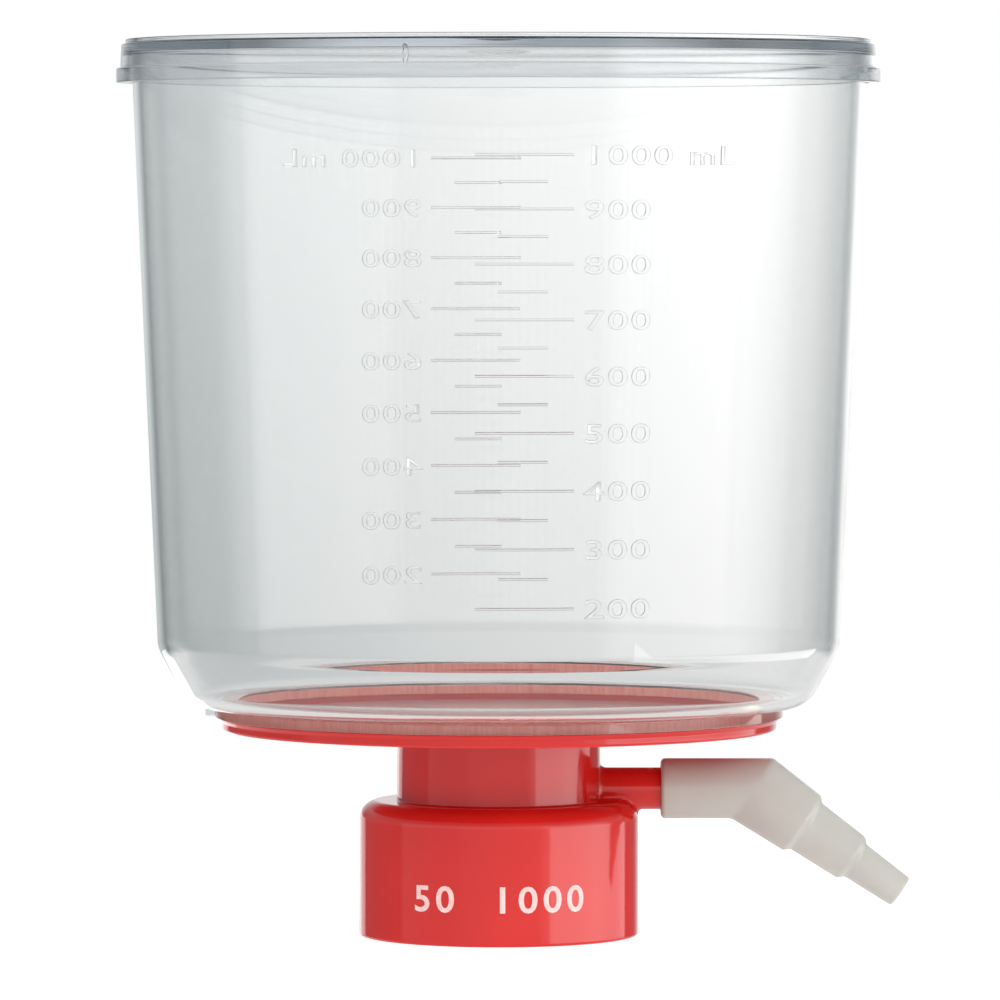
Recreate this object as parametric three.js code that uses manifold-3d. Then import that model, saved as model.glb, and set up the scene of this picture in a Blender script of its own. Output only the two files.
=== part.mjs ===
// Bottle-top vacuum filtration unit, 1000 mL, with a 45 mm bottle collar.
//
// Millimetres, +Z up. The origin is the centre of the collar's mouth, on the axis of the
// unit, where the bottle's neck enters. The side arm and its hose connector point along +X.
//
// Each piece is drawn in a frame of its own and placed by its mesh's position. An outline is
// a list of corners [radius, height, fillet], with the fillet left out at a sharp corner.

import * as THREE from 'three';
import { mergeVertices } from 'three/addons/utils/BufferGeometryUtils.js';
import Module from 'manifold-3d';

// ---------------------------------------------------------------- driving dimensions

// round pieces
const segments = 64;
const connectorSegments = 24;
const chordTolerance = 0.05;

// how far a cut runs past the face that it opens, and a joined piece into the one it grows from
const overcut = 1;
const sink = 0.3;

// threaded collar, for a bottle neck with a 45 mm thread
const neckThreadDiameter = 45;
const threadClearance = 0.3;
const threadDepth = 1.3;
const threadPitch = 4;
const threadTurns = 1.75;
const threadStart = 4.5;
const threadRootWidth = 2.6;
const threadCrestWidth = 1;
const threadStepsPerTurn = 32;
const threadRunOutSteps = 3;
const collarWall = 1.5;
const collarHeight = 23.5;
const collarRoof = 2.2;
const collarShoulderFillet = 3.2;
const collarRimFillet = 0.5;

// neck between the collar and the support plate
const neckSetback = 6.7;
const neckDraught = 0.15;
const neckWall = 2;
const neckLength = 12.45;
const neckFillet = 0.6;

// support plate under the filter disc
const plateInset = 1.15;
const plateThickness = 2.25;
const plateRimFlare = 0.55;
const plateRimFlareHeight = 0.9;
const plateEdgeFillet = 0.5;
const drainDepth = 1;
const ribPairs = 12;
const ribWidth = 0.9;
const ribOuterGap = 1;
const ribInnerGap = 1.2;
const shortRibSetback = 12.6;

// drip spout, from the drain down into the collar
const outletRadius = 3.2;
const spoutWall = 1.6;
const spoutDraught = 0.3;
const spoutLength = 20;

// side arm to the vacuum line
const armRise = 2;
const armRadius = 3.65;
const armBoreRadius = 2.1;
const armReach = 11.8;

// filter disc
const membraneRadius = 45;
const membraneThickness = 0.2;
const membraneClearance = 0.3;
const sealWidth = 2;

// raised rim on the plate, round the disc, that the funnel's foot is welded over
const weldRimWidth = 2.5;
const weldRimHeight = 1.4;
const weldGap = 0.1;

// funnel, measured on its outside from the foot up
const footSkirt = 1.6;
const footHeight = 1.9;
const heelOverhang = 4.3;
const heelFillet = 5;
const heelSpread = 5.55;
const heelHeight = 10.2;
const wallSpread = 4.45;
const wallHeight = 103.1;
const funnelWall = 1.35;
const lugReach = 1.6;
const lugWidth = 5;
const lugHeight = 1.7;

// raised graduations on the funnel, one each 50 mL from 200 to 1000 mL
const markCount = 17;
const firstMarkRise = 9.7;
const firstMarkSpacing = 4.97;
const markThickness = 0.45;
const markRelief = 0.2;
const longMark = { from: -4, to: 12.6 };
const shortMark = { from: -0.2, to: 8.2 };

// lid
const lidClearance = 0.35;
const lidPlate = 1.6;
const skirtWall = 1.35;
const skirtDepth = 5.1;
const skirtDraught = 0.2;
const bandHeight = 2.5;
const bandRelief = 0.7;
const ridgeHeight = 0.8;
const ridgeWidth = 2;
const ridgeInset = 0.7;
const wellRadius = 5.8;
const wellDepth = 1;
const wellSteps = 3;

// seal ring under the collar's roof
const gasketThickness = 1.6;
const gasketClearance = 0.3;

// fibre plug in the side arm
const plugLength = 8;
const plugInset = 1;
const plugClearance = 0.3;

// hose connector
const socketGap = 3.9;
const socketEndClearance = 0.3;
const socketWall = 1.45;
const swivelClearance = 0.15;
const mouthFillet = 0.8;
const mouthChamfer = 0.4;
const elbowSetback = 3.9;
const bendAngle = THREE.MathUtils.degToRad(35);
const nozzleBoreRadius = 1.75;
const barbCount = 3;
const barbPitch = 10.5;
const barbEndRadius = 5.85;
const barbStep = 1.475;
const barbTaper = 0.5;
const barbShoulder = 1;
const barbFillet = 0.9;
const tipFillet = 0.4;

// ---------------------------------------------------------------- sizes that follow

const threadRootRadius = neckThreadDiameter / 2 + threadClearance;
const threadCrestRadius = threadRootRadius - threadDepth;
const collarRadius = threadRootRadius + collarWall;
const collarCeiling = collarHeight - collarRoof;
const neckRadius = collarRadius - neckSetback;
const neckBoreRadius = neckRadius - neckWall;

const plateUnderside = collarHeight + neckLength;
const plateTop = plateUnderside + plateThickness;
const drainFloor = plateTop - drainDepth;

const drainRadius = membraneRadius - sealWidth;
const weldRimInner = membraneRadius + membraneClearance;
const weldRimOuter = weldRimInner + weldRimWidth;
const footBoreRadius = weldRimOuter + weldGap;
const footRadius = footBoreRadius + footSkirt;
const plateRadius = footRadius - plateInset;
const heelRadius = footRadius + heelOverhang;
const waistRadius = heelRadius + heelSpread;
const rimRadius = waistRadius + wallSpread;
const waistHeight = footHeight + heelHeight;
const funnelHeight = waistHeight + wallHeight;
const rimHeight = plateTop + funnelHeight;

const spoutRadius = outletRadius + spoutWall;
const spoutTip = plateUnderside - spoutLength;

const socketMouth = collarRadius + socketGap;
const armHeight = collarHeight + armRise;
const armEnd = socketMouth + armReach;
const socketLength = armReach + socketEndClearance;
const socketRadius = armRadius + swivelClearance;
const sleeveRadius = socketRadius + socketWall;
const elbowReach = socketLength + elbowSetback;

// ---------------------------------------------------------------- shape helpers

// The arc that rounds one corner of an outline, in chords that stay close to it.
function filletArc(before, corner, after, radius) {
  const incoming = before.clone().sub(corner).normalize();
  const outgoing = after.clone().sub(corner).normalize();
  const half = Math.acos(THREE.MathUtils.clamp(incoming.dot(outgoing), -1, 1)) / 2;
  const centre = incoming.clone().add(outgoing).normalize();
  centre.multiplyScalar(radius / Math.sin(half)).add(corner);
  const tangent = incoming.multiplyScalar(radius / Math.tan(half)).add(corner);
  const sweep = Math.PI - 2 * half;
  const turn = Math.sign(after.clone().sub(corner).cross(before.clone().sub(corner))) * sweep;
  const steps = Math.ceil(sweep / (2 * Math.acos(1 - chordTolerance / radius)));
  const arc = [];
  for (let i = 0; i <= steps; i += 1) {
    arc.push(tangent.clone().rotateAround(centre, (turn * i) / steps));
  }
  return arc;
}

// An outline's corners as points, with the filleted corners rounded.
function roundedOutline(corners) {
  const points = corners.map(([radius, height]) => new THREE.Vector2(radius, height));
  return corners.flatMap(([, , fillet], i) => {
    const after = points[(i + 1) % points.length];
    return fillet ? filletArc(points.at(i - 1), points[i], after, fillet) : [points[i]];
  });
}

// A piece turned about Z. Its outline runs anticlockwise, with the radius to the right and
// the height up, and either closes on itself or starts and ends on the axis.
function turned(corners) {
  const points = roundedOutline(corners);
  const onAxis = points[0].x === 0;
  return new THREE.LatheGeometry(onAxis ? points : [...points, points[0]], segments).rotateX(Math.PI / 2);
}

// A skin over rings of points that all have the same count and run clockwise as seen from the
// ring before. It either joins the last ring to the first or closes both ends with a flat cap.
function skinned(rings, joinEnds) {
  const count = rings[0].length;
  const index = [];
  const spans = joinEnds ? rings.length : rings.length - 1;
  for (let i = 0; i < spans; i += 1) {
    const here = i * count;
    const next = ((i + 1) % rings.length) * count;
    for (let j = 0; j < count; j += 1) {
      const k = (j + 1) % count;
      index.push(here + j, here + k, next + k, here + j, next + k, next + j);
    }
  }
  if (!joinEnds) {
    const last = (rings.length - 1) * count;
    for (let j = 1; j < count - 1; j += 1) {
      index.push(0, j + 1, j, last, last + j, last + j + 1);
    }
  }
  return new THREE.BufferGeometry().setFromPoints(rings.flat()).setIndex(index);
}

const wasm = await Module();
wasm.setup();

// A closed geometry as a solid that can be joined and cut.
function solid(geometry) {
  const bare = geometry.clone();
  bare.deleteAttribute('normal');
  bare.deleteAttribute('uv');
  const merged = mergeVertices(bare, 1e-4);
  const mesh = new wasm.Mesh({
    numProp: 3,
    vertProperties: new Float32Array(merged.attributes.position.array),
    triVerts: new Uint32Array(merged.index.array),
  });
  mesh.merge();
  return new wasm.Manifold(mesh);
}

function geometryOf(manifold) {
  const mesh = manifold.getMesh();
  const geometry = new THREE.BufferGeometry();
  geometry.setAttribute('position', new THREE.BufferAttribute(mesh.vertProperties, 3));
  geometry.setIndex(new THREE.BufferAttribute(mesh.triVerts, 1));
  return geometry;
}

// A round bar along X, from one x to another.
function barAlongX(radius, from, to, sides = connectorSegments) {
  const bar = new THREE.CylinderGeometry(radius, radius, to - from, sides);
  return bar.rotateZ(Math.PI / 2).translate((from + to) / 2, 0, 0);
}

// A flat-sided bar laid out from the axis, turned to its angle.
function radialBar(from, to, width, bottom, top, angle) {
  const bar = new THREE.BoxGeometry(to - from, width, top - bottom);
  return bar.translate((from + to) / 2, 0, (bottom + top) / 2).rotateZ(angle);
}

// ---------------------------------------------------------------- base

// The screw thread inside the collar: a ridge whose ends run out into the wall.
function threadRidge() {
  const steps = Math.round(threadTurns * threadStepsPerTurn);
  const root = threadRootRadius + sink;
  const rings = [];
  for (let i = 0; i <= steps; i += 1) {
    const turns = i / threadStepsPerTurn;
    const angle = turns * 2 * Math.PI;
    const height = threadStart + turns * threadPitch;
    const lead = Math.min(1, i / threadRunOutSteps, (steps - i) / threadRunOutSteps);
    const crest = root - sink / 2 - lead * (threadDepth + sink / 2);
    const section = [
      [root, -threadRootWidth / 2],
      [crest, -threadCrestWidth / 2],
      [crest, threadCrestWidth / 2],
      [root, threadRootWidth / 2],
    ];
    rings.push(section.map(([radius, rise]) => (
      new THREE.Vector3(radius * Math.cos(angle), radius * Math.sin(angle), height + rise)
    )));
  }
  return skinned(rings, false);
}

// Ribs that hold the filter disc off the drain's floor and lead the liquid to the outlet.
function drainRibs() {
  const longStart = outletRadius + ribInnerGap;
  const shortStart = longStart + shortRibSetback;
  const end = drainRadius - ribOuterGap;
  const ribs = [];
  for (let i = 0; i < 2 * ribPairs; i += 1) {
    const start = i % 2 === 0 ? longStart : shortStart;
    ribs.push(radialBar(start, end, ribWidth, drainFloor - sink, plateTop, (i * Math.PI) / ribPairs));
  }
  return ribs;
}

function baseGeometry() {
  const flareRadius = plateRadius + plateRimFlare;
  const shoulderFillet = Math.min(collarShoulderFillet, neckSetback - neckDraught);
  const outside = turned([
    [0, 0],
    [collarRadius, 0, collarRimFillet],
    [collarRadius, collarHeight, shoulderFillet],
    [neckRadius + neckDraught, collarHeight],
    [neckRadius, plateUnderside, neckFillet],
    [plateRadius, plateUnderside, plateEdgeFillet],
    [plateRadius, plateTop - plateRimFlareHeight],
    [flareRadius, plateTop],
    [weldRimOuter, plateTop],
    [weldRimOuter, plateTop + weldRimHeight],
    [weldRimInner, plateTop + weldRimHeight],
    [weldRimInner, plateTop],
    [drainRadius, plateTop],
    [drainRadius, drainFloor],
    [0, drainFloor],
  ]);
  const hollow = turned([
    [0, -overcut],
    [threadRootRadius, -overcut],
    [threadRootRadius, collarCeiling],
    [neckBoreRadius, collarCeiling],
    [neckBoreRadius, plateUnderside],
    [0, plateUnderside],
  ]);
  const spout = turned([
    [0, spoutTip],
    [spoutRadius - spoutDraught, spoutTip],
    [spoutRadius, plateUnderside + sink],
    [0, plateUnderside + sink],
  ]);
  const outlet = turned([
    [0, spoutTip - overcut],
    [outletRadius, spoutTip - overcut],
    [outletRadius, drainFloor + overcut],
    [0, drainFloor + overcut],
  ]);
  const arm = barAlongX(armRadius, neckBoreRadius, armEnd).translate(0, 0, armHeight);
  const armBore = barAlongX(armBoreRadius, neckBoreRadius - overcut, armEnd + overcut);
  armBore.translate(0, 0, armHeight);

  let base = solid(outside).add(solid(arm)).subtract(solid(hollow)).subtract(solid(armBore));
  base = base.add(solid(spout));
  for (const rib of drainRibs()) {
    base = base.add(solid(rib));
  }
  return geometryOf(base.subtract(solid(outlet)).add(solid(threadRidge())));
}

// ---------------------------------------------------------------- funnel

// The outer wall's radius at a height above the foot, between the waist and the rim.
function wallRadius(height) {
  const share = (height - waistHeight) / (funnelHeight - waistHeight);
  return THREE.MathUtils.lerp(waistRadius, rimRadius, share);
}

// The graduations' heights, as far as the lid's skirt leaves the wall free. Equal volumes lie
// closer together as the funnel widens.
function markHeights() {
  const firstHeight = waistHeight + firstMarkRise;
  const heights = [];
  for (let height = firstHeight; heights.length < markCount;) {
    heights.push(height);
    height += firstMarkSpacing * (wallRadius(firstHeight) / wallRadius(height)) ** 2;
  }
  return heights.filter((height) => height + markThickness < funnelHeight - skirtDepth);
}

// One raised graduation, curved with the wall, on the side that faces the given angle.
function graduation(mark, height, facing) {
  const radius = wallRadius(height);
  const start = facing + mark.from / radius;
  const end = facing + mark.to / radius;
  const shape = new THREE.Shape();
  shape.absarc(0, 0, radius + markRelief, start, end, false);
  shape.absarc(0, 0, radius - sink, end, start, true);
  const settings = { depth: markThickness, bevelEnabled: false, curveSegments: 3 };
  return new THREE.ExtrudeGeometry(shape, settings).translate(0, 0, height - markThickness / 2);
}

function funnelGeometry() {
  const slope = heelSpread / heelHeight;
  const heelWall = funnelWall * Math.hypot(1, slope);
  const floorTop = footHeight + funnelWall;
  const footCeiling = weldRimHeight + weldGap;
  const innerHeel = heelRadius + slope * funnelWall - heelWall;
  const innerWaist = waistRadius - funnelWall;
  const innerWaistHeight = waistHeight + (heelWall - funnelWall) / slope;
  let funnel = solid(turned([
    [weldRimInner, footCeiling],
    [footBoreRadius, footCeiling],
    [footBoreRadius, 0],
    [footRadius, 0],
    [footRadius, footHeight],
    [heelRadius, footHeight, heelFillet],
    [waistRadius, waistHeight],
    [rimRadius, funnelHeight],
    [rimRadius - funnelWall, funnelHeight],
    [innerWaist, innerWaistHeight],
    [innerHeel, floorTop, Math.max(0, heelFillet - funnelWall)],
    [weldRimInner, floorTop],
  ]));
  const lug = radialBar(footRadius - footSkirt / 2, footRadius + lugReach, lugWidth, 0, lugHeight, Math.PI);
  funnel = funnel.add(solid(lug));
  for (const facing of [-Math.PI / 2, Math.PI / 2]) {
    markHeights().forEach((height, i) => {
      funnel = funnel.add(solid(graduation(i % 2 === 0 ? longMark : shortMark, height, facing)));
    });
  }
  return geometryOf(funnel);
}

// ---------------------------------------------------------------- lid

function lidGeometry() {
  const lidBore = rimRadius + lidClearance;
  const skirtRadius = lidBore + skirtWall;
  const ridgeOuter = skirtRadius - ridgeInset;
  const ridgeTop = lidPlate + ridgeHeight;
  const bandTop = bandHeight - skirtDepth;
  const bandRadius = skirtRadius + skirtDraught + bandRelief;
  // Half the outline of the gate well: a shallow round dish of even thickness.
  const dish = (level) => Array.from({ length: wellSteps }, (_, i) => {
    const share = i / wellSteps;
    return [share * wellRadius, level - wellDepth * (1 - share * share)];
  });
  return turned([
    ...dish(0),
    [wellRadius, 0],
    [lidBore, 0],
    [lidBore + skirtDraught, -skirtDepth],
    [bandRadius, -skirtDepth],
    [bandRadius, bandTop],
    [skirtRadius + skirtDraught, bandTop],
    [skirtRadius, lidPlate, ridgeInset / 2],
    [ridgeOuter, lidPlate],
    [ridgeOuter, ridgeTop],
    [ridgeOuter - ridgeWidth, ridgeTop],
    [ridgeOuter - ridgeWidth, lidPlate],
    [wellRadius, lidPlate],
    ...dish(lidPlate).reverse(),
  ]);
}

// ---------------------------------------------------------------- small round pieces

function membraneGeometry() {
  return turned([[0, 0], [membraneRadius, 0], [membraneRadius, membraneThickness], [0, membraneThickness]]);
}

function gasketGeometry() {
  const inner = neckBoreRadius + gasketClearance;
  const outer = threadCrestRadius - gasketClearance;
  return turned([[inner, 0], [outer, 0], [outer, gasketThickness], [inner, gasketThickness]]);
}

// ---------------------------------------------------------------- hose connector

// A ring across the connector's centre line. The line lies in the XZ plane and points down
// from +X by the given angle. The ring is an ellipse where it cuts the line's bend.
function crossRing(x, z, angle, radius, stretch = 1) {
  return Array.from({ length: connectorSegments }, (_, i) => {
    const phase = (2 * Math.PI * i) / connectorSegments;
    const across = radius * stretch * Math.cos(phase);
    return new THREE.Vector3(
      x + across * Math.sin(angle),
      -radius * Math.sin(phase),
      z + across * Math.cos(angle),
    );
  });
}

// The nozzle's outline from the elbow to the tip, as [radius, distance]: a stair of tapers.
function nozzleOutline() {
  const corners = [[sleeveRadius, 0]];
  for (let i = 0; i < barbCount; i += 1) {
    const endRadius = barbEndRadius - i * barbStep;
    const end = (i + 1) * barbPitch;
    if (i > 0) {
      corners.push([endRadius + barbTaper, i * barbPitch + barbShoulder, barbFillet]);
    }
    corners.push([endRadius, end, i < barbCount - 1 ? barbFillet : tipFillet]);
  }
  return corners;
}

function connectorGeometry() {
  const straight = ([radius, x]) => crossRing(x, 0, 0, radius);
  const oblique = ([radius, distance]) => crossRing(
    elbowReach + distance * Math.cos(bendAngle),
    -distance * Math.sin(bendAngle),
    bendAngle,
    radius,
  );
  const elbow = (radius) => crossRing(elbowReach, 0, bendAngle, radius, 1 / Math.cos(bendAngle));
  const nozzleLength = barbCount * barbPitch;
  const sleeve = roundedOutline([
    [nozzleBoreRadius, socketLength],
    [socketRadius, socketLength],
    [socketRadius, mouthChamfer],
    [socketRadius + mouthChamfer, 0],
    [sleeveRadius, 0, mouthFillet],
    [sleeveRadius, elbowReach],
  ]).slice(0, -1);
  const nozzle = roundedOutline([...nozzleOutline(), [nozzleBoreRadius, nozzleLength]]).slice(1);
  const rings = [
    ...sleeve.map(({ x, y }) => straight([x, y])),
    elbow(sleeveRadius),
    ...nozzle.map(({ x, y }) => oblique([x, y])),
    elbow(nozzleBoreRadius),
  ];
  return skinned(rings, true);
}

// ---------------------------------------------------------------- the unit

const clearPlastic = { color: 0xe2e8e5, roughness: 0.08, metalness: 0, transparent: true, opacity: 0.4 };
const redPlastic = { color: 0xc83a34, roughness: 0.2, metalness: 0 };
const whiteFilter = { color: 0xf4f3ee, roughness: 0.9, metalness: 0 };
const paleRubber = { color: 0xe9e5d8, roughness: 0.7, metalness: 0 };
const milkyPlastic = { color: 0xd8d5d0, roughness: 0.45, metalness: 0 };
const whiteFibre = { color: 0xf2f2ef, roughness: 1, metalness: 0 };

const unit = new THREE.Group();

function place(name, geometry, finish, x, z) {
  const mesh = new THREE.Mesh(geometry, new THREE.MeshStandardMaterial(finish));
  mesh.name = name;
  mesh.position.set(x, 0, z);
  unit.add(mesh);
}

const plug = barAlongX(armBoreRadius - plugClearance, 0, plugLength);

place('base', baseGeometry(), redPlastic, 0, 0);
place('membrane', membraneGeometry(), whiteFilter, 0, plateTop);
place('funnel', funnelGeometry(), clearPlastic, 0, plateTop);
place('lid', lidGeometry(), clearPlastic, 0, rimHeight);
place('neck_gasket', gasketGeometry(), paleRubber, 0, collarCeiling - gasketThickness);
place('arm_plug', plug, whiteFibre, armEnd - plugInset - plugLength, armHeight);
place('hose_connector', connectorGeometry(), milkyPlastic, socketMouth, armHeight);

export default unit;
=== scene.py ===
import math

import bmesh
import bpy
import numpy as np
from mathutils import Matrix, Vector

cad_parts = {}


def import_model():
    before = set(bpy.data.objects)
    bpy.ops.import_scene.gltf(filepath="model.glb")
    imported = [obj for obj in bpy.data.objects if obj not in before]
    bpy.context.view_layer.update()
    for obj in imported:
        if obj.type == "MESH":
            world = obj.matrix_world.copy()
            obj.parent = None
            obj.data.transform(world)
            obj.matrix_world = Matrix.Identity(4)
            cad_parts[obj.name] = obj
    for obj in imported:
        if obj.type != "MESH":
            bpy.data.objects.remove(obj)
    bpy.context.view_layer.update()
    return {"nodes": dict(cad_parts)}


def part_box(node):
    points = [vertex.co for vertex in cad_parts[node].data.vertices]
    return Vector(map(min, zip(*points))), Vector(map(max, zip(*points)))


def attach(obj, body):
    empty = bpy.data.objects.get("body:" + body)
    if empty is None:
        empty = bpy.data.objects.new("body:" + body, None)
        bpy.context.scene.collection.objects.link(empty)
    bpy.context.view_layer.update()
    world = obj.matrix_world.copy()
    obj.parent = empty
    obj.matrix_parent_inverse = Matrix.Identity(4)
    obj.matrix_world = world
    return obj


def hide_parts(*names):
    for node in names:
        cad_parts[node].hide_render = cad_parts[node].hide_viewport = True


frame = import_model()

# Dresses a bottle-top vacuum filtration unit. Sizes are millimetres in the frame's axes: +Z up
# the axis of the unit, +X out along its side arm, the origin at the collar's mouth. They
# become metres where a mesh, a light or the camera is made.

MM = 0.001
TURN = 2 * math.pi
ROUND_STEPS = 256
SHARP_ANGLE = math.radians(32)

# The facets of a fillet: the most that one turns, and its longest chord.
ARC_STEP = math.radians(12)
ARC_CHORD = 0.3

# ------------------------------------------------------------------ sizes from the frame


def box_mm(node):
    low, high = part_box(node)
    return low / MM, high / MM


base_high = box_mm("base")[1]
funnel_low, funnel_high = box_mm("funnel")
lid_low, lid_high = box_mm("lid")
disc_low, disc_high = box_mm("membrane")
gasket_high = box_mm("neck_gasket")[1]
plug_low, plug_high = box_mm("arm_plug")
connector_low = box_mm("hose_connector")[0]

# base
collar_radius = 24.3
collar_height = 23.5
collar_rim_fillet = 0.5
shoulder_fillet = 3.2
thread_root_radius = 22.8
thread_depth = 1.3
thread_pitch = 4
thread_turns = 1.75
thread_start = 4.5
thread_root_width = 2.6
thread_crest_width = 1
neck_radius = 17.6
neck_draught = 0.15
neck_bore_radius = 15.6
neck_foot_fillet = 0.25
neck_fillet = 0.6
plate_radius = 48.35
plate_underside = 35.95
plate_top = disc_low.z
plate_rim_flare_height = 0.9
plate_edge_fillet = 0.5
weld_rim_height = 1.4
weld_rim_inner = disc_high.x + 0.3
weld_rim_outer = weld_rim_inner + 2.5
flash_reach = 0.18
flash_foot = 39.4
flash_top = 40.95
drain_radius = 43
drain_floor = plate_top - 1
outlet_radius = 3.2
spout_radius = 4.8
spout_draught = 0.3
spout_tip = 15.95
rib_pairs = 12
rib_width = 0.9
rib_end = 42
long_rib_start = 4.4
short_rib_start = 17
arm_height = (plug_low.z + plug_high.z) / 2
arm_radius = 3.65
arm_bore_radius = 2.1
arm_end = plug_high.x + 1
arm_edge = 0.15
arm_blend = 1.3

# funnel
weld_gap = 0.1
foot_radius = 49.5
foot_height = 1.9
heel_radius = 53.8
heel_fillet = 5
waist_radius = 59.35
waist_height = 12.1
waist_fillet = 5
inner_waist_fillet = waist_fillet - 0.5
rim_fillet = 0.5
funnel_wall = 1.35
rim_radius = funnel_high.x
funnel_height = funnel_high.z - funnel_low.z
lug_reach = 1.6
lug_root = 1
lug_width = 5
lug_height = 1.7

# graduations
mark_count = 17
first_mark_height = 21.8
first_mark_spacing = 4.97
mark_thickness = 0.45
mark_relief = 0.1
long_mark = (-4, 12.6)
short_mark = (-0.2, 8.2)
numeral_start = 14.2
numeral_height = 3.3
numeral_stretch = 1.62
numeral_spacing = 1.12
numeral_bevel = 0.06
numeral_weight = 0.05
first_volume = 200
volume_step = 50

# lid
lid_bore = rim_radius + 0.35
lid_plate = 1.6
lid_corner = 0.6
skirt_radius = lid_bore + 1.35
skirt_draught = 0.2
band_height = 2.5
ridge_inset = 0.7
ridge_width = 2
well_radius = 5.8
well_depth = 1
well_steps = 12
loop_bearing = math.radians(-103.7)
loop_half_width = 0.45
loop_half_height = 1.6
loop_thickness = 0.2
loop_height = funnel_high.z - 1.2

# hose connector
socket_radius = 3.8
sleeve_radius = 5.25
socket_length = 12.1
elbow_reach = 16
bend_angle = math.radians(35)
nozzle_bore_radius = 1.75
barb_count = 3
barb_pitch = 10.5
barb_end_radius = 5.85
barb_step = 1.475
barb_taper = 0.5
barb_shoulder = 1
barb_fillet = 0.9
elbow_fillet_reach = 0.6
elbow_fillet_steps = 8
mouth_fillet = 0.8
mouth_chamfer = 0.4
bore_fillet = 0.3
tip_fillet = 0.4

# numbers printed on the collar
print_height = 4.6
print_middle = 8.3
print_stretch = 1.12
print_spacing = 1.25
print_thickness = 0.05
print_weight = 0.1

# ------------------------------------------------------------------ outlines


def fillet_arc(before, corner, after, radius):
    """Points of the arc that rounds one corner of an outline."""
    incoming = (before - corner).normalized()
    outgoing = (after - corner).normalized()
    half = incoming.angle(outgoing) / 2
    centre = corner + (incoming + outgoing).normalized() * radius / math.sin(half)
    tangent = corner + incoming * radius / math.tan(half)
    sweep = math.pi - 2 * half
    turn = math.copysign(sweep, (corner - before).cross(after - corner))
    steps = max(2, math.ceil(sweep / ARC_STEP), math.ceil(sweep * radius / ARC_CHORD))
    spoke = tangent - centre
    arc = []
    for i in range(steps + 1):
        angle = turn * i / steps
        cos, sin = math.cos(angle), math.sin(angle)
        arc.append(centre + Vector((cos * spoke.x - sin * spoke.y, sin * spoke.x + cos * spoke.y)))
    return arc


def rounded(corners):
    """A closed outline's corners (radius, height, fillet) as points, with the fillets drawn."""
    points = [Vector(corner[:2]) for corner in corners]
    outline = []
    for i, corner in enumerate(corners):
        if len(corner) == 3 and corner[2] > 0:
            after = points[(i + 1) % len(points)]
            outline += fillet_arc(points[i - 1], points[i], after, corner[2])
        else:
            outline.append(points[i])
    return [(p.x, p.y) for p in outline]


def guarded(outline, closed=True):
    """An outline with a point near each end of its long stretches, so that they shade straight."""
    guard = 0.12
    points = []
    for here, there in zip(outline, outline[1:] + outline[:1] if closed else outline[1:]):
        points.append(here)
        length = math.dist(here, there)
        if length > 4 * guard and max(here[0], there[0]) > 0:
            step = Vector(there) - Vector(here)
            for share in (guard / length, 1 - guard / length):
                points.append(tuple(Vector(here) + step * share))
    return points if closed else points + outline[-1:]


# ------------------------------------------------------------------ meshes


def shaded(mesh):
    """Smooth shading, with a crease at each real edge."""
    mesh.shade_smooth()
    mesh.set_sharp_from_angle(angle=SHARP_ANGLE)
    return mesh


def mesh_of(name, points, faces):
    """A mesh of points in millimetres, with its faces turned outward."""
    mesh = bpy.data.meshes.new(name)
    mesh.from_pydata([tuple(c * MM for c in p) for p in points], [], faces)
    work = bmesh.new()
    work.from_mesh(mesh)
    bmesh.ops.recalc_face_normals(work, faces=work.faces)
    work.to_mesh(mesh)
    work.free()
    return mesh


def object_of(name, mesh):
    piece = bpy.data.objects.new(name, mesh)
    bpy.context.scene.collection.objects.link(piece)
    return piece


def lathe(name, corners):
    """A solid turned about the axis, from a closed outline that may start and end on it."""
    outline = guarded(rounded(corners))
    points, rows = [], []
    for radius, height in outline:
        if radius == 0:
            rows.append([len(points)] * ROUND_STEPS)
            points.append((0, 0, height))
        else:
            rows.append(range(len(points), len(points) + ROUND_STEPS))
            for i in range(ROUND_STEPS):
                angle = TURN * i / ROUND_STEPS
                points.append((radius * math.cos(angle), radius * math.sin(angle), height))
    faces = []
    for here, there in zip(rows, rows[1:] + rows[:1]):
        for i in range(ROUND_STEPS):
            j = (i + 1) % ROUND_STEPS
            face = list(dict.fromkeys((here[i], here[j], there[j], there[i])))
            if len(face) > 2:
                faces.append(face)
    return mesh_of(name, points, faces)


def skin(name, rings, closed):
    """A solid over rings of points: joined end to start, or capped at both ends."""
    count = len(rings[0])
    points = [p for ring in rings for p in ring]
    spans = len(rings) if closed else len(rings) - 1
    faces = []
    for i in range(spans):
        here, there = i * count, (i + 1) % len(rings) * count
        for j in range(count):
            k = (j + 1) % count
            faces.append((here + j, here + k, there + k, there + j))
    if not closed:
        last = (len(rings) - 1) * count
        faces += [tuple(range(count)), tuple(range(last, last + count))]
    return mesh_of(name, points, faces)


def block(name, low, high):
    """A box between two opposite corners."""
    spans = list(zip(low, high))
    corners = [(x, y, z) for x in spans[0] for y in spans[1] for z in spans[2]]
    faces = [(0, 1, 3, 2), (4, 6, 7, 5), (0, 4, 5, 1), (2, 3, 7, 6), (0, 2, 6, 4), (1, 5, 7, 3)]
    return mesh_of(name, corners, faces)


def joined(name, meshes):
    """One mesh that holds several closed shells."""
    work = bmesh.new()
    for mesh in meshes:
        work.from_mesh(mesh)
    whole = bpy.data.meshes.new(name)
    work.to_mesh(whole)
    work.free()
    return whole


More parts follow.
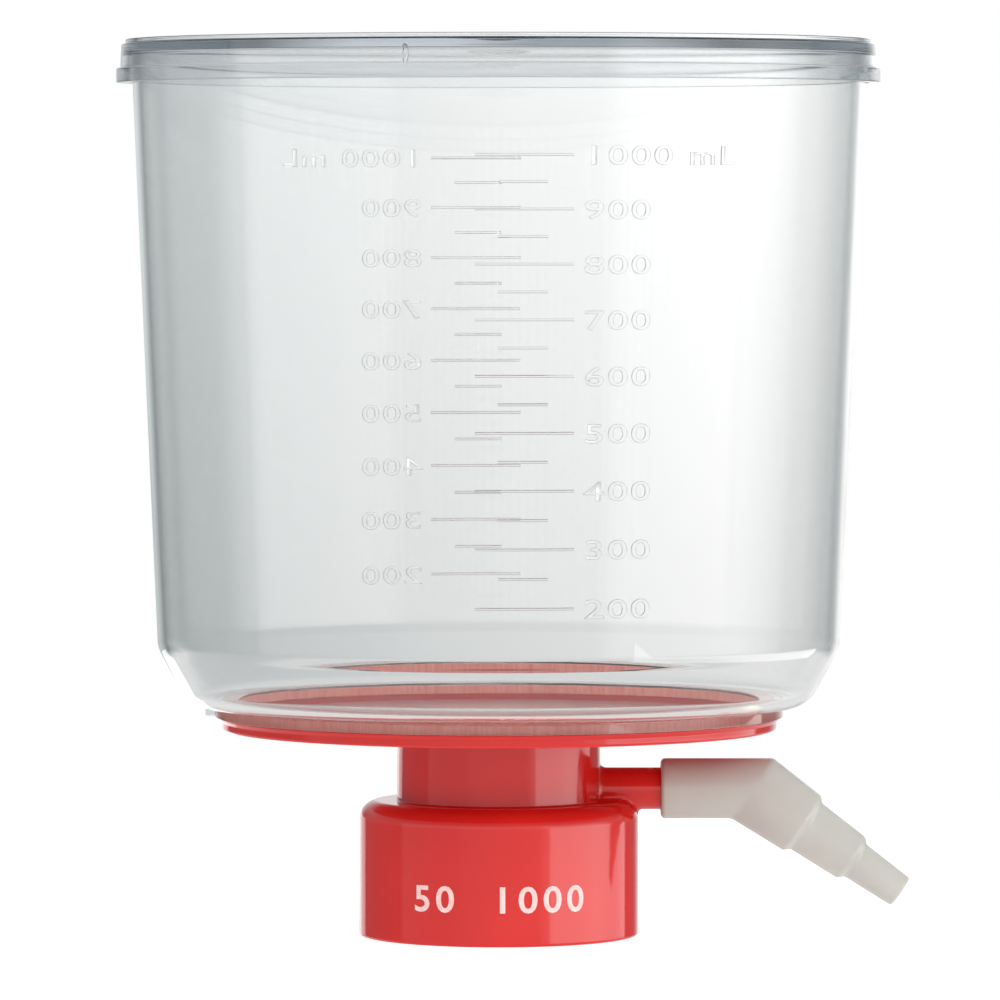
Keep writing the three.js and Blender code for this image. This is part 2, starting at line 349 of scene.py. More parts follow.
def combined(mesh, tool, operation):
    """A mesh joined with a tool, or cut by it."""
    piece, cutter = object_of(mesh.name, mesh), object_of(tool.name, tool)
    step = piece.modifiers.new("cut", "BOOLEAN")
    step.operation = operation
    step.solver = "MANIFOLD"
    step.object = cutter
    depsgraph = bpy.context.evaluated_depsgraph_get()
    result = bpy.data.meshes.new_from_object(piece.evaluated_get(depsgraph))
    result.name = mesh.name
    bpy.data.objects.remove(piece)
    bpy.data.objects.remove(cutter)
    return result


# ------------------------------------------------------------------ base


def collar_distance(x, y, z):
    """Distance from the outside of the collar and the neck, which blend where they meet."""
    radius = math.hypot(x, y)
    across = radius - (collar_radius - shoulder_fillet)
    above = z - (collar_height - shoulder_fillet)
    outside = math.hypot(max(across, 0), max(above, 0))
    collar = outside + min(max(across, above), 0) - shoulder_fillet
    return blended(collar, radius - neck_radius, neck_foot_fillet)


def blended(a, b, reach):
    """The smaller of two distances, eased where they are nearly equal."""
    overlap = max(reach - abs(a - b), 0) / reach
    return min(a, b) - overlap * overlap * reach / 4


def arm_reach_out(x, phase):
    """The arm's radius at a place along it, with the fillet where it leaves neck and collar."""
    low, high = 0, arm_blend
    for _ in range(18):
        step = (low + high) / 2
        radius = arm_radius + step
        across, rise = radius * math.cos(phase), radius * math.sin(phase)
        if blended(collar_distance(x, across, arm_height + rise), step, arm_blend) < 0:
            low = step
        else:
            high = step
    return arm_radius + low


def arm_mesh():
    """The hollow side arm, finely stepped where it leaves the neck and the collar."""
    sides = 96
    fine_step, coarse_step = 0.12, 1.2
    blend_end = collar_radius + arm_blend + 0.5
    start = neck_bore_radius + 0.9
    stations = [*np.arange(start, blend_end, fine_step), *np.arange(blend_end, arm_end, coarse_step)]
    phases = [TURN * i / sides for i in range(sides)]

    def ring(x, radius_at):
        return [(x, radius_at(p) * math.cos(p), arm_height + radius_at(p) * math.sin(p)) for p in phases]

    last = arm_end - arm_edge
    rings = [ring(x, lambda p, x=x: arm_reach_out(x, p)) for x in stations if x < last]
    rings.append(ring(last, lambda p: arm_radius))
    rings.append(ring(arm_end, lambda p: arm_radius - arm_edge))
    rings.append(ring(arm_end, lambda p: arm_bore_radius))
    rings.append(ring(start, lambda p: arm_bore_radius))
    return skin("arm", rings, closed=True)


def thread_mesh():
    """The thread inside the collar, which starts and ends in a short run-out."""
    steps_per_turn, run_out, sink = 96, 9, 0.3
    steps = round(thread_turns * steps_per_turn)
    rings = []
    for i in range(steps + 1):
        turns = i / steps_per_turn
        angle = turns * TURN
        height = thread_start + turns * thread_pitch
        lead = min(1, i / run_out, (steps - i) / run_out)
        root = thread_root_radius + sink
        crest = root - sink / 2 - lead * (thread_depth + sink / 2)
        half_root, half_crest = thread_root_width / 2, thread_crest_width / 2
        section = [(root, -half_root), (crest, -half_crest), (crest, half_crest), (root, half_root)]
        rings.append([(r * math.cos(angle), r * math.sin(angle), height + rise) for r, rise in section])
    return skin("thread", rings, closed=False)


def rib_meshes():
    """The ribs that hold the membrane off the drain's floor, long and short by turns."""
    sink, clearance = 0.3, 0.02
    ribs = []
    for i in range(2 * rib_pairs):
        start = long_rib_start if i % 2 == 0 else short_rib_start
        low = (start, -rib_width / 2, drain_floor - sink)
        high = (rib_end, rib_width / 2, plate_top - clearance)
        rib = block("rib", low, high)
        rib.transform(Matrix.Rotation(math.pi * i / rib_pairs, 4, "Z"))
        ribs.append(rib)
    return ribs


def arm_bore_mesh():
    """The tool that opens the neck's wall into the arm."""
    sides = 64
    rings = []
    for x in (neck_bore_radius - 2, neck_radius + 1):
        ring = []
        for i in range(sides):
            phase = TURN * i / sides
            rise = arm_bore_radius * math.sin(phase)
            ring.append((x, arm_bore_radius * math.cos(phase), arm_height + rise))
        rings.append(ring)
    return skin("arm_bore", rings, closed=False)


def base_mesh():
    edge = 0.2
    body = lathe("base_shell", [
        (thread_root_radius, 0, edge),
        (collar_radius, 0, collar_rim_fillet),
        (collar_radius, collar_height, shoulder_fillet),
        (neck_radius + neck_draught, collar_height, neck_foot_fillet),
        (neck_radius, plate_underside, neck_fillet),
        (plate_radius, plate_underside, plate_edge_fillet),
        (plate_radius, plate_top - plate_rim_flare_height, edge),
        (base_high.y, plate_top, edge),
        (weld_rim_outer, plate_top, edge),
        (weld_rim_outer, plate_top + weld_rim_height, edge),
        (weld_rim_inner, plate_top + weld_rim_height, edge),
        (weld_rim_inner, plate_top),
        (drain_radius, plate_top, edge),
        (drain_radius, drain_floor, edge),
        (outlet_radius, drain_floor, edge),
        (outlet_radius, spout_tip, edge),
        (spout_radius - spout_draught, spout_tip, edge),
        (spout_radius, plate_underside, neck_fillet),
        (neck_bore_radius, plate_underside, neck_fillet),
        (neck_bore_radius, gasket_high.z, edge),
        (thread_root_radius, gasket_high.z, edge),
    ])
    body = combined(body, arm_bore_mesh(), "DIFFERENCE")
    return shaded(joined("base_body", [body, arm_mesh(), thread_mesh(), *rib_meshes()]))


def weld_flash_mesh():
    """The bead that the weld leaves. It fills the gap and bonds to the clear foot, inside and out."""
    skin_thickness, thin_skin, bond = 0.2, 0.1, 0.02
    groove_top = plate_top + weld_rim_height + weld_gap + bond
    inside = weld_rim_inner + bond
    outside = weld_rim_outer + weld_gap + bond
    edge = 0.08
    return shaded(lathe("weld_flash", [
        (weld_rim_inner - flash_reach, flash_foot, edge),
        (weld_rim_inner - flash_reach, flash_top, edge),
        (inside, flash_top, edge),
        (inside, groove_top),
        (outside, groove_top),
        (outside, plate_top + bond),
        (outside - skin_thickness, plate_top + bond),
        (outside - skin_thickness, groove_top - skin_thickness),
        (inside + thin_skin, groove_top - skin_thickness),
        (inside + thin_skin, flash_foot),
    ]))


# ------------------------------------------------------------------ funnel


def wall_radius(height):
    """The funnel's outer radius at a height above its foot, between the waist and the rim."""
    share = (height - waist_height) / (funnel_height - waist_height)
    return waist_radius + share * (rim_radius - waist_radius)


def mark_heights():
    """The graduations' heights. Equal volumes lie closer together as the funnel widens."""
    heights = [first_mark_height]
    while len(heights) < mark_count:
        widening = wall_radius(heights[-1]) / wall_radius(first_mark_height)
        heights.append(heights[-1] + first_mark_spacing / widening ** 2)
    return heights


def wrapped(point, height, facing):
    """A point (along, up, out) on the funnel's wall, about a mark on the side that it faces."""
    along, up, out = point
    radius = wall_radius(height + up) + out
    angle = facing + along / wall_radius(height)
    return radius * math.cos(angle), radius * math.sin(angle), funnel_low.z + height + up


def mark_mesh(span, height, facing):
    """One raised graduation with sloping sides, curved with the wall."""
    steps, slope, sink = 12, 0.12, 0.3
    half = mark_thickness / 2
    rings = []
    for i in range(steps + 1):
        along = span[0] + (span[1] - span[0]) * i / steps
        section = [(-half, -sink), (-half, 0), (slope - half, mark_relief),
                   (half - slope, mark_relief), (half, 0), (half, -sink)]
        rings.append([wrapped((along, up, out), height, facing) for up, out in section])
    return skin("mark", rings, closed=False)


def text_mesh(words, height, stretch, spacing, depth, bevel, facing_x="LEFT", weight=0.0):
    """Flat raised lettering of a given capital height, in millimetres, centred on its height."""
    capital_share = 0.729
    merge_distance = 0.004
    curve = bpy.data.curves.new("words", "FONT")
    curve.body = words
    curve.size = height / capital_share
    curve.space_character = spacing
    curve.align_x = facing_x
    curve.extrude = depth
    curve.bevel_depth = bevel
    curve.bevel_resolution = 0
    curve.offset = weight - bevel
    curve.resolution_u = 4
    words_object = object_of("words", curve)
    depsgraph = bpy.context.evaluated_depsgraph_get()
    mesh = bpy.data.meshes.new_from_object(words_object.evaluated_get(depsgraph))
    bpy.data.objects.remove(words_object)
    work = bmesh.new()
    work.from_mesh(mesh)
    bmesh.ops.remove_doubles(work, verts=work.verts, dist=merge_distance)
    for vertex in work.verts:
        vertex.co.x *= stretch
        vertex.co.y -= height / 2
    work.to_mesh(mesh)
    work.free()
    return mesh


def numeral_mesh(volume, height, facing):
    """The raised number beside a long graduation, curved with the wall."""
    words = "1000 mL" if volume == 1000 else str(volume)
    mesh = text_mesh(words, numeral_height, numeral_stretch, numeral_spacing, mark_relief,
                     numeral_bevel, weight=numeral_weight)
    for vertex in mesh.vertices:
        along, up, out = vertex.co
        vertex.co = Vector(wrapped((numeral_start + along, up, out), height, facing)) * MM
    return mesh


def funnel_mesh():
    """The clear cup with its raised graduations, front and back, and the lug at its foot."""
    slope = (waist_radius - heel_radius) / (waist_height - foot_height)
    slant_wall = funnel_wall * math.hypot(1, slope)
    inner_waist_height = waist_height + (slant_wall - funnel_wall) / slope
    inner_heel_radius = heel_radius + slope * funnel_wall - slant_wall
    edge = 0.25
    outline = [
        (weld_rim_inner, weld_rim_height + weld_gap, edge / 2),
        (weld_rim_outer + weld_gap, weld_rim_height + weld_gap, edge / 2),
        (weld_rim_outer + weld_gap, 0, edge / 2),
        (foot_radius, 0, edge / 2),
        (foot_radius, foot_height, edge / 2),
        (heel_radius, foot_height, heel_fillet),
        (waist_radius, waist_height, waist_fillet),
        (rim_radius, funnel_height, rim_fillet),
        (rim_radius - funnel_wall, funnel_height, rim_fillet),
        (waist_radius - funnel_wall, inner_waist_height, inner_waist_fillet),
        (inner_heel_radius, foot_height + funnel_wall, heel_fillet - funnel_wall),
        (weld_rim_inner, foot_height + funnel_wall, edge),
    ]
    wall = lathe("wall", [(c[0], c[1] + funnel_low.z, *c[2:]) for c in outline])
    relief = []
    for facing in (-math.pi / 2, math.pi / 2):
        for i, height in enumerate(mark_heights()):
            relief.append(mark_mesh(long_mark if i % 2 == 0 else short_mark, height, facing))
            if i % 2 == 0:
                relief.append(numeral_mesh(first_volume + volume_step * i, height, facing))
    lug_low = (-foot_radius - lug_reach, -lug_width / 2, funnel_low.z)
    lug_high = (lug_root - foot_radius, lug_width / 2, funnel_low.z + lug_height)
    relief.append(block("lug", lug_low, lug_high))
    for raised in relief:
        wall = combined(wall, raised, "UNION")
    wall.name = "funnel_shell"
    return shaded(wall)


# ------------------------------------------------------------------ lid


def skirt_surface(z):
    """The outer radius of the lid's skirt at one height."""
    plate = funnel_high.z + lid_plate
    band_top = lid_low.z + band_height
    return skirt_radius + skirt_draught * (plate - z) / (plate - band_top)


def lid_loop_mesh():
    """The small raised loop that the mould left on the skirt, left of the front."""
    around, sides = 48, 8
    rings = []
    for i in range(around):
        turn = TURN * i / around
        ring = []
        for j in range(sides):
            side = TURN * j / sides
            spread = loop_thickness * math.cos(side)
            across = (loop_half_width + spread) * math.cos(turn)
            z = loop_height + (loop_half_height + spread) * math.sin(turn)
            radius = skirt_surface(z) + loop_thickness * math.sin(side)
            angle = loop_bearing + across / skirt_radius
            ring.append((radius * math.cos(angle), radius * math.sin(angle), z))
        rings.append(ring)
    return skin("loop", rings, closed=True)


def lid_mesh():
    """The lid: a plate with a well at its middle, a low ridge, and a skirt with a wider band."""
    rim = funnel_high.z
    ridge_outer = skirt_radius - ridge_inset
    plate = rim + lid_plate
    band_top = lid_low.z + band_height
    edge = 0.2
    shares = [i / well_steps for i in range(well_steps)]
    well = [(well_radius * share, well_depth * (1 - share ** 2)) for share in shares]
    turned = lathe("lid_turned", [
        *[(radius, rim - drop) for radius, drop in well],
        (well_radius, rim),
        (lid_bore, rim, lid_corner),
        (lid_bore + skirt_draught, lid_low.z, edge),
        (lid_high.x, lid_low.z, edge),
        (lid_high.x, band_top, edge),
        (skirt_radius + skirt_draught, band_top, edge),
        (skirt_radius, plate, ridge_inset / 2),
        (ridge_outer, plate, edge / 2),
        (ridge_outer, lid_high.z, edge),
        (ridge_outer - ridge_width, lid_high.z, edge),
        (ridge_outer - ridge_width, plate, edge),
        (well_radius, plate),
        *[(radius, plate - drop) for radius, drop in reversed(well)],
    ])
    lid = combined(turned, lid_loop_mesh(), "UNION")
    lid.name = "lid_shell"
    return shaded(lid)


# ------------------------------------------------------------------ hose connector


def between(first, last, share):
    """The ring that lies a share of the way from one ring to another."""
    return [tuple(Vector(a).lerp(Vector(b), share)) for a, b in zip(first, last)]


def connector_mesh():
    """The bent connector: a sleeve round the arm, an elbow, and a nozzle with three barbs."""
    sides = 72
    mouth = connector_low.x
    phases = [TURN * i / sides for i in range(sides)]
    lean = math.tan(bend_angle)

    def straight(radius, x):
        return [(mouth + x, radius * math.sin(p), arm_height + radius * math.cos(p)) for p in phases]

    def oblique(radius, distance):
        ring = []
        for p in phases:
            across = radius * math.cos(p)
            x = elbow_reach + distance * math.cos(bend_angle) + across * math.sin(bend_angle)
            z = -distance * math.sin(bend_angle) + across * math.cos(bend_angle)
            ring.append((mouth + x, radius * math.sin(p), arm_height + z))
        return ring

    def bend(radius, target):
        """The rings round the elbow, where each line turns on a small arc to the target."""
        rings = []
        for t in np.linspace(0, 1, elbow_fillet_steps + 1):
            ring = []
            for p, end in zip(phases, target):
                across = radius * math.cos(p)
                x = mouth + elbow_reach + across * lean
                corner = Vector((x, radius * math.sin(p), arm_height + across))
                before = corner - Vector((elbow_fillet_reach, 0, 0))
                after = corner + (Vector(end) - corner).normalized() * elbow_fillet_reach
                ring.append(tuple(before * (1 - t) ** 2 + corner * 2 * t * (1 - t) + after * t * t))
            rings.append(ring)
        return rings

    nozzle_corners = [(sleeve_radius, 0)]
    for i in range(barb_count):
        end_radius = barb_end_radius - i * barb_step
        end_fillet = barb_fillet if i < barb_count - 1 else tip_fillet
        if i > 0:
            shoulder = i * barb_pitch + barb_shoulder
            nozzle_corners.append((end_radius + barb_taper, shoulder, barb_fillet))
        nozzle_corners.append((end_radius, (i + 1) * barb_pitch, end_fillet))
    nozzle_corners.append((nozzle_bore_radius, barb_count * barb_pitch, bore_fillet))
    nozzle_corners.append((nozzle_bore_radius, 0))
    nozzle = rounded(nozzle_corners)[1:-1]
    sleeve = rounded([
        (nozzle_bore_radius, socket_length),
        (socket_radius, socket_length, bore_fillet),
        (socket_radius, mouth_chamfer),
        (socket_radius + mouth_chamfer, 0),
        (sleeve_radius, 0, mouth_fillet),
        (sleeve_radius, elbow_reach),
    ])[:-1]
    sleeve_rings = [straight(radius, x) for radius, x in guarded(sleeve, closed=False)]
    nozzle_rings = [oblique(radius, distance) for radius, distance in guarded(nozzle, closed=False)]
    bend_rings = bend(sleeve_radius, nozzle_rings[0])
    bore_rings = bend(nozzle_bore_radius, nozzle_rings[-1])[::-1]
    near_ends = (0.02, 0.98)
    rings = [
        *sleeve_rings,
        *[between(sleeve_rings[-1], bend_rings[0], share) for share in near_ends],
        *bend_rings,
        *[between(bend_rings[-1], nozzle_rings[0], share) for share in near_ends],
        *nozzle_rings,
        *bore_rings,
    ]
    return shaded(skin("connector_body", rings, closed=True))


# ------------------------------------------------------------------ materials


class Finish:
    """A material in the making: one Principled shader and the nodes that feed it."""

    def __init__(self, name):
        self.material = bpy.data.materials.new(name)
        self.material.use_nodes = True
        self.tree = self.material.node_tree
        self.shader = self.tree.nodes["Principled BSDF"]
        self.place = self.tree.nodes.new("ShaderNodeTexCoord").outputs["Object"]

    def set(self, **values):
        for name, value in values.items():
            self.shader.inputs[name.replace("_", " ")].default_value = value

    def noise(self, scale, detail=2.0, stretch=(1, 1, 1)):
        mapping = self.tree.nodes.new("ShaderNodeMapping")
        mapping.inputs["Scale"].default_value = stretch
        self.tree.links.new(self.place, mapping.inputs["Vector"])
        noise = self.tree.nodes.new("ShaderNodeTexNoise")
        noise.inputs["Scale"].default_value = scale
        noise.inputs["Detail"].default_value = detail
        self.tree.links.new(mapping.outputs["Vector"], noise.inputs["Vector"])
        return noise.outputs["Fac"]

    def ramp(self, source, low, high, start=0.35, end=0.65):
        ramp = self.tree.nodes.new("ShaderNodeValToRGB")
        first, last = ramp.color_ramp.elements
        first.position, last.position = start, end
        first.color, last.color = (*low, 1), (*high, 1)
        self.tree.links.new(source, ramp.inputs["Fac"])
        return ramp.outputs["Color"]

    def absorb(self, per_metre):
        """Colour that builds up along the way through the plastic, as on its edges."""
        density = 20
        volume = self.tree.nodes.new("ShaderNodeVolumeAbsorption")
        volume.inputs["Color"].default_value = (*[1 - share / density for share in per_metre], 1)
        volume.inputs["Density"].default_value = density
        output = self.tree.nodes["Material Output"]
        self.tree.links.new(volume.outputs["Volume"], output.inputs["Volume"])

    def vary(self, name, source, low, high):
        scaled = self.tree.nodes.new("ShaderNodeMapRange")
        scaled.inputs["To Min"].default_value = low
        scaled.inputs["To Max"].default_value = high
        self.tree.links.new(source, scaled.inputs["Value"])
        self.tree.links.new(scaled.outputs["Result"], self.shader.inputs[name])

    def colour(self, source):
        self.tree.links.new(source, self.shader.inputs["Base Color"])

    def bump(self, source, depth):
        bump = self.tree.nodes.new("ShaderNodeBump")
        bump.inputs["Distance"].default_value = depth * MM
        self.tree.links.new(source, bump.inputs["Height"])
        self.tree.links.new(bump.outputs["Normal"], self.shader.inputs["Normal"])


def clear_plastic(name, tint, absorption=None):
    """Clear moulded plastic, a little wavy, which may take up more colour on its edges."""
    finish = Finish(name)
    finish.set(Base_Color=(*tint, 1), Transmission_Weight=1.0, IOR=1.59)
    finish.vary("Roughness", finish.noise(scale=90, detail=3), 0.0, 0.04)
    finish.bump(finish.noise(scale=60, detail=2, stretch=(1, 1, 0.4)), 0.02)
    if absorption:
        finish.absorb(absorption)
    return finish.material


def red_plastic():
    finish = Finish("red_plastic")
    finish.set(Specular_IOR_Level=0.5, IOR=1.5, Subsurface_Weight=0.2, Subsurface_Scale=1.5 * MM)
    finish.shader.inputs["Subsurface Radius"].default_value = (1.0, 0.25, 0.15)
    tone = finish.noise(scale=35, detail=3)
    finish.colour(finish.ramp(tone, (0.60, 0.014, 0.012), (0.67, 0.020, 0.015)))
    finish.vary("Roughness", finish.noise(scale=220, detail=3), 0.07, 0.13)
    finish.bump(finish.noise(scale=900, detail=2), 0.006)
    return finish.material


def milky_plastic():
    finish = Finish("milky_plastic")
    finish.set(IOR=1.5, Subsurface_Weight=0.3, Subsurface_Scale=2 * MM, Transmission_Weight=0.1)
    finish.shader.inputs["Subsurface Radius"].default_value = (1.0, 0.8, 0.7)
    finish.colour(finish.ramp(finish.noise(scale=60, detail=3), (0.54, 0.535, 0.49), (0.60, 0.595, 0.55)))
    finish.vary("Roughness", finish.noise(scale=400, detail=2), 0.26, 0.34)
    finish.bump(finish.noise(scale=1500, detail=2), 0.01)
    return finish.material


def weld_plastic():
    """The base's red where it melted into the clear plastic: paler, with fine upright streaks."""
    finish = Finish("weld_plastic")
    finish.set(IOR=1.5)
    streaks = finish.noise(scale=2600, detail=3, stretch=(1, 1, 0.1))
    finish.colour(finish.ramp(streaks, (0.88, 0.21, 0.17), (0.97, 0.42, 0.36), 0.25, 0.75))
    finish.vary("Roughness", finish.noise(scale=500, detail=2), 0.3, 0.6)
    finish.bump(streaks, 0.05)
    return finish.material


def filter_membrane():
    """A thin wet-looking film that lets the red floor show through it."""
    finish = Finish("filter_membrane")
    finish.set(IOR=1.45, Transmission_Weight=0.72)
    finish.colour(finish.ramp(finish.noise(scale=1200, detail=4), (0.84, 0.77, 0.73), (0.93, 0.87, 0.83)))
    finish.vary("Roughness", finish.noise(scale=300, detail=2), 0.10, 0.2)
    finish.bump(finish.noise(scale=1500, detail=3), 0.008)
    return finish.material


def seal_rubber():
    finish = Finish("seal_rubber")
    finish.colour(finish.ramp(finish.noise(scale=150, detail=3), (0.66, 0.63, 0.55), (0.74, 0.71, 0.63)))
    finish.vary("Roughness", finish.noise(scale=500, detail=2), 0.6, 0.75)
    finish.bump(finish.noise(scale=1800, detail=2), 0.01)
    return finish.material


def filter_fibre():
    finish = Finish("filter_fibre")
    fibres = finish.noise(scale=900, detail=4, stretch=(0.2, 1, 1))
    finish.colour(finish.ramp(fibres, (0.70, 0.70, 0.68), (0.9, 0.9, 0.88)))
    finish.set(Roughness=0.95)
    finish.bump(finish.noise(scale=2500, detail=4, stretch=(0.2, 1, 1)), 0.08)
    return finish.material


def print_ink():
    finish = Finish("print_ink")
    finish.colour(finish.ramp(finish.noise(scale=800, detail=3), (0.92, 0.60, 0.57), (0.97, 0.72, 0.69)))
    finish.vary("Roughness", finish.noise(scale=700, detail=2), 0.3, 0.45)
    return finish.material


# ------------------------------------------------------------------ the pieces


def add_piece(mesh, material, body, node=None):
    """Puts a mesh in the scene, on its body, in place of the CAD node that it redraws."""
    mesh.materials.clear()
    mesh.materials.append(material)
    piece = object_of(mesh.name, mesh)
    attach(piece, body)
    if node:
        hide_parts(node)


def print_mesh():
    """Plain raised-ink numbers on the collar's front."""
    mesh = text_mesh("50  1000", print_height, print_stretch, print_spacing, print_thickness,
                     0.0, "CENTER", weight=print_weight)
    for vertex in mesh.vertices:
        along, up, out = vertex.co
        angle = along / collar_radius
        radius = collar_radius + out
        height = print_middle + up
        vertex.co = Vector((radius * math.sin(angle), -radius * math.cos(angle), height)) * MM
    mesh.name = "collar_print"
    return mesh


def repaint(node, material):
    """Gives a CAD node that is shown as it is its material."""
    carried = frame["nodes"][node]
    carried.data.materials.clear()
    carried.data.materials.append(material)


clear = clear_plastic("clear_plastic", (0.925, 0.928, 0.922))
lid_plastic = clear_plastic("lid_plastic", (0.9, 0.912, 0.924), (5.6, 5.0, 4.4))
red = red_plastic()
add_piece(base_mesh(), red, "base_unit", "base")
add_piece(weld_flash_mesh(), weld_plastic(), "base_unit")
add_piece(funnel_mesh(), clear, "base_unit", "funnel")
add_piece(lid_mesh(), lid_plastic, "lid", "lid")
add_piece(connector_mesh(), milky_plastic(), "connector", "hose_connector")
add_piece(print_mesh(), print_ink(), "base_unit")
repaint("membrane", filter_membrane())
repaint("neck_gasket", seal_rubber())
repaint("arm_plug", filter_fibre())

# ------------------------------------------------------------------ studio

BACKDROP = (1.0, 1.0, 1.0)
FLOOR_LIGHT = (0.8, 0.8, 0.8)
CEILING_LIGHT = (0.52, 0.55, 0.58)
FILL_BEHIND = (0.25, 0.25, 0.26)
FILL_IN_FRONT = (0.5, 0.49, 0.48)
FILL_ABOVE = (1.4, 1.4, 1.4)

# Where the zones meet, as the sine of the angle above the horizon: the first and the last of a
# smooth change. The sides also brighten upward, from one share of their radiance to another.
FLOOR_EDGE = (-0.22, -0.16)
CEILING_EDGE = (0.12, 0.3)
FILL_EDGE = (0.2, 1)
SIDE_FALL = (-0.073, 0.03, 0.8, 1.16)

# What makes up for the light that matt surfaces behind two walls of plastic would lose.
PLASTIC_GAIN = 2.6

# What a dark surrounding adds to each colour, as a share for full shade.
SHADE_HUE = (-0.17, 0, 0.06)

# What stands round the unit: the bearings that it spans, in degrees clockwise from +Y, and its
# radiance. What lies between two of them runs smoothly from one to the other.
SURROUNDINGS = {
    "shaded side of the backdrop": (-16, -4, 0.7),
    "lit side of the backdrop": (4, 16, 1.2),
    "dark gap on the right": (30, 68, 0.3),
    "right softbox": (93, 140, 1.95),
    "room in front": (148, 210, 1.25),
    "left softbox": (216, 265, 1.1),
    "dark gap on the left": (270, 332, 0.2),
}


def stage_material(colour, glow):
    """The floor's paper, which glows a little so that it stays white."""
    finish = Finish("floor_paper")
    finish.set(Base_Color=(*colour, 1), Roughness=0.9)
    finish.shader.inputs["Emission Color"].default_value = (1, 1, 1, 1)
    finish.shader.inputs["Emission Strength"].default_value = glow
    return finish.material


def floor():
    """A round pale board. The bright cards round the unit stand in for its sheen."""
    reach, sides = 300, 96
    angles = [TURN * i / sides for i in range(sides)]
    rim = [(reach * math.cos(angle), reach * math.sin(angle), 0) for angle in angles]
    mesh = mesh_of("floor", rim, [tuple(range(sides))])
    mesh.materials.append(stage_material((0.4, 0.4, 0.4), 0.85))
    board = object_of("floor", mesh)
    board.visible_glossy = False
    board.visible_transmission = False


def softbox(name, bearing, distance, height, size, radiance):
    """A soft light, at a bearing from +Y, that faces the middle of the unit.

    Its watts are four times its radiance times its area, as Cycles shares them out.
    """
    highest_aim = 90
    light = bpy.data.lights.new(name, "AREA")
    light.shape = "RECTANGLE"
    light.size, light.size_y = size[0] * MM, size[1] * MM
    light.energy = radiance * 4 * light.size * light.size_y
    lamp = object_of(name, light)
    angle = math.radians(bearing)
    lamp.location = Vector((math.sin(angle) * distance, math.cos(angle) * distance, height)) * MM
    aim = Vector((0, 0, min(height, highest_aim) * MM)) - lamp.location
    lamp.rotation_euler = aim.to_track_quat("-Z", "Y").to_euler()
    lamp.visible_camera = False
    return lamp


def key(name, bearing, distance, height, size, radiance):
    """A soft light that only matt surfaces see."""
    lamp = softbox(name, bearing, distance, height, size, radiance)
    lamp.visible_glossy = False
    lamp.visible_transmission = False


def card(name, bearing, distance, width, radiance):
    """A low bright card that only reflections on the base see."""
    low, high = -32, 25
    lamp = softbox(name, bearing, distance, (low + high) / 2, (width, high - low), radiance)
    lamp.visible_diffuse = False
    lamp.visible_transmission = False


class WorldNodes:
    """Short names for the few nodes that the world is made of."""

    def __init__(self, tree):
        self.tree = tree

    def put(self, value, socket):
        if isinstance(value, (float, int)):
            socket.default_value = value
        elif isinstance(value, tuple):
            socket.default_value = (*value, 1)
        else:
            self.tree.links.new(value, socket)

    def ranged(self, source, low, high, to_low=0.0, to_high=1.0):
        node = self.tree.nodes.new("ShaderNodeMapRange")
        limits = {"From Min": low, "From Max": high, "To Min": to_low, "To Max": to_high}
        for name, value in limits.items():
            node.inputs[name].default_value = value
        self.put(source, node.inputs["Value"])
        return node.outputs["Result"]

    def mixed(self, share, first, second, blend="MIX"):
        node = self.tree.nodes.new("ShaderNodeMix")
        node.data_type = "RGBA"
        node.blend_type = blend
        self.put(share, node.inputs["Factor"])
        self.put(first, node.inputs["A"])
        self.put(second, node.inputs["B"])
        return node.outputs["Result"]


def surroundings_ramp(ramp):
    """Sets a ramp round the horizon to the surroundings. It starts and ends at -X."""
    seam_sides = ("left softbox", "dark gap on the left")
    seam = sum(SURROUNDINGS[side][2] for side in seam_sides) / 2
    stops = [(0, seam), (1, seam)]
    for first, last, level in SURROUNDINGS.values():
        stops += [((0.75 - bearing / 360) % 1, level) for bearing in (first, last)]
    ramp.elements.remove(ramp.elements[1])
    for i, (position, level) in enumerate(sorted(stops)):
        element = ramp.elements[0] if i == 0 else ramp.elements.new(position)
        element.position = position
        shade = max(0, 1 - level)
        element.color = (*[level * (1 + hue * shade) for hue in SHADE_HUE], 1)


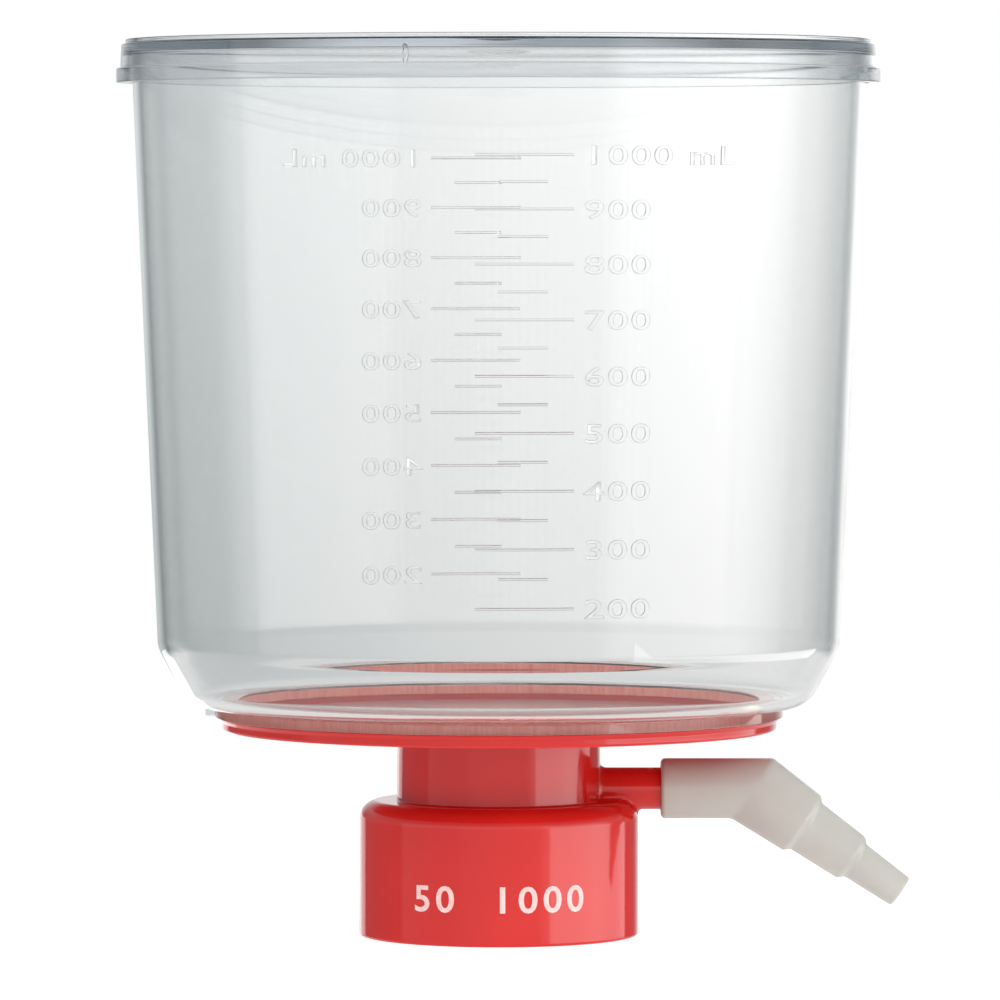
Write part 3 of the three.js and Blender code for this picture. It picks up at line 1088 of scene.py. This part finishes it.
def world():
    """A white studio whose sides differ, as reflections and matt surfaces see it."""
    scene_world = bpy.data.worlds.new("studio")
    scene_world.use_nodes = True
    scene_world.cycles.sampling_method = "NONE"
    nodes = WorldNodes(scene_world.node_tree)
    new = scene_world.node_tree.nodes.new
    direction = new("ShaderNodeTexCoord").outputs["Generated"]
    parts = new("ShaderNodeSeparateXYZ")
    nodes.put(direction, parts.inputs["Vector"])
    turn = new("ShaderNodeTexGradient")
    turn.gradient_type = "RADIAL"
    nodes.put(direction, turn.inputs["Vector"])
    around = new("ShaderNodeValToRGB")
    surroundings_ramp(around.color_ramp)
    nodes.put(turn.outputs["Fac"], around.inputs["Fac"])
    height = parts.outputs["Z"]
    fall = nodes.ranged(height, *SIDE_FALL)
    level_sight = nodes.mixed(1.0, around.outputs["Color"], fall, "MULTIPLY")
    sight = nodes.mixed(nodes.ranged(height, *FLOOR_EDGE), FLOOR_LIGHT, level_sight)
    sight = nodes.mixed(nodes.ranged(height, *CEILING_EDGE), sight, CEILING_LIGHT)
    fill = nodes.mixed(nodes.ranged(parts.outputs["Y"], 1, -1), FILL_BEHIND, FILL_IN_FRONT)
    fill = nodes.mixed(nodes.ranged(height, *FILL_EDGE), fill, FILL_ABOVE)
    rays = new("ShaderNodeLightPath")
    through_plastic = nodes.ranged(rays.outputs["Transmission Depth"], 0, 2, 1.0, PLASTIC_GAIN)
    fill = nodes.mixed(1.0, fill, through_plastic, "MULTIPLY")
    matt = nodes.ranged(rays.outputs["Diffuse Depth"], 0, 1)
    seen = nodes.mixed(rays.outputs["Is Camera Ray"], nodes.mixed(matt, sight, fill), BACKDROP)
    nodes.put(seen, scene_world.node_tree.nodes["Background"].inputs["Color"])
    bpy.context.scene.world = scene_world


def camera():
    """The view of a long lens, a little above the middle of the unit and looking down at it."""
    sideways, distance, eye_height, aim_height = 0.2, 1322, 129.2, 75.8
    lens = bpy.data.cameras.new("camera")
    lens.sensor_width = 36
    lens.lens = 273.6
    lens.clip_end = 50
    eye = object_of("camera", lens)
    eye.location = Vector((sideways, -distance, eye_height)) * MM
    aim = Vector((sideways, 0, aim_height)) * MM - eye.location
    eye.rotation_euler = aim.to_track_quat("-Z", "Y").to_euler()
    bpy.context.scene.camera = eye


floor()
world()
key("key_right", bearing=143, distance=900, height=400, size=(760, 900), radiance=1.35)
card("card_right", bearing=98, distance=200, width=350, radiance=1.5)
card("card_back", bearing=-28, distance=200, width=90, radiance=0.75)
camera()

scene = bpy.context.scene
scene.view_settings.view_transform = "Standard"
scene.cycles.max_bounces = 24
scene.cycles.transmission_bounces = 24
scene.cycles.glossy_bounces = 12
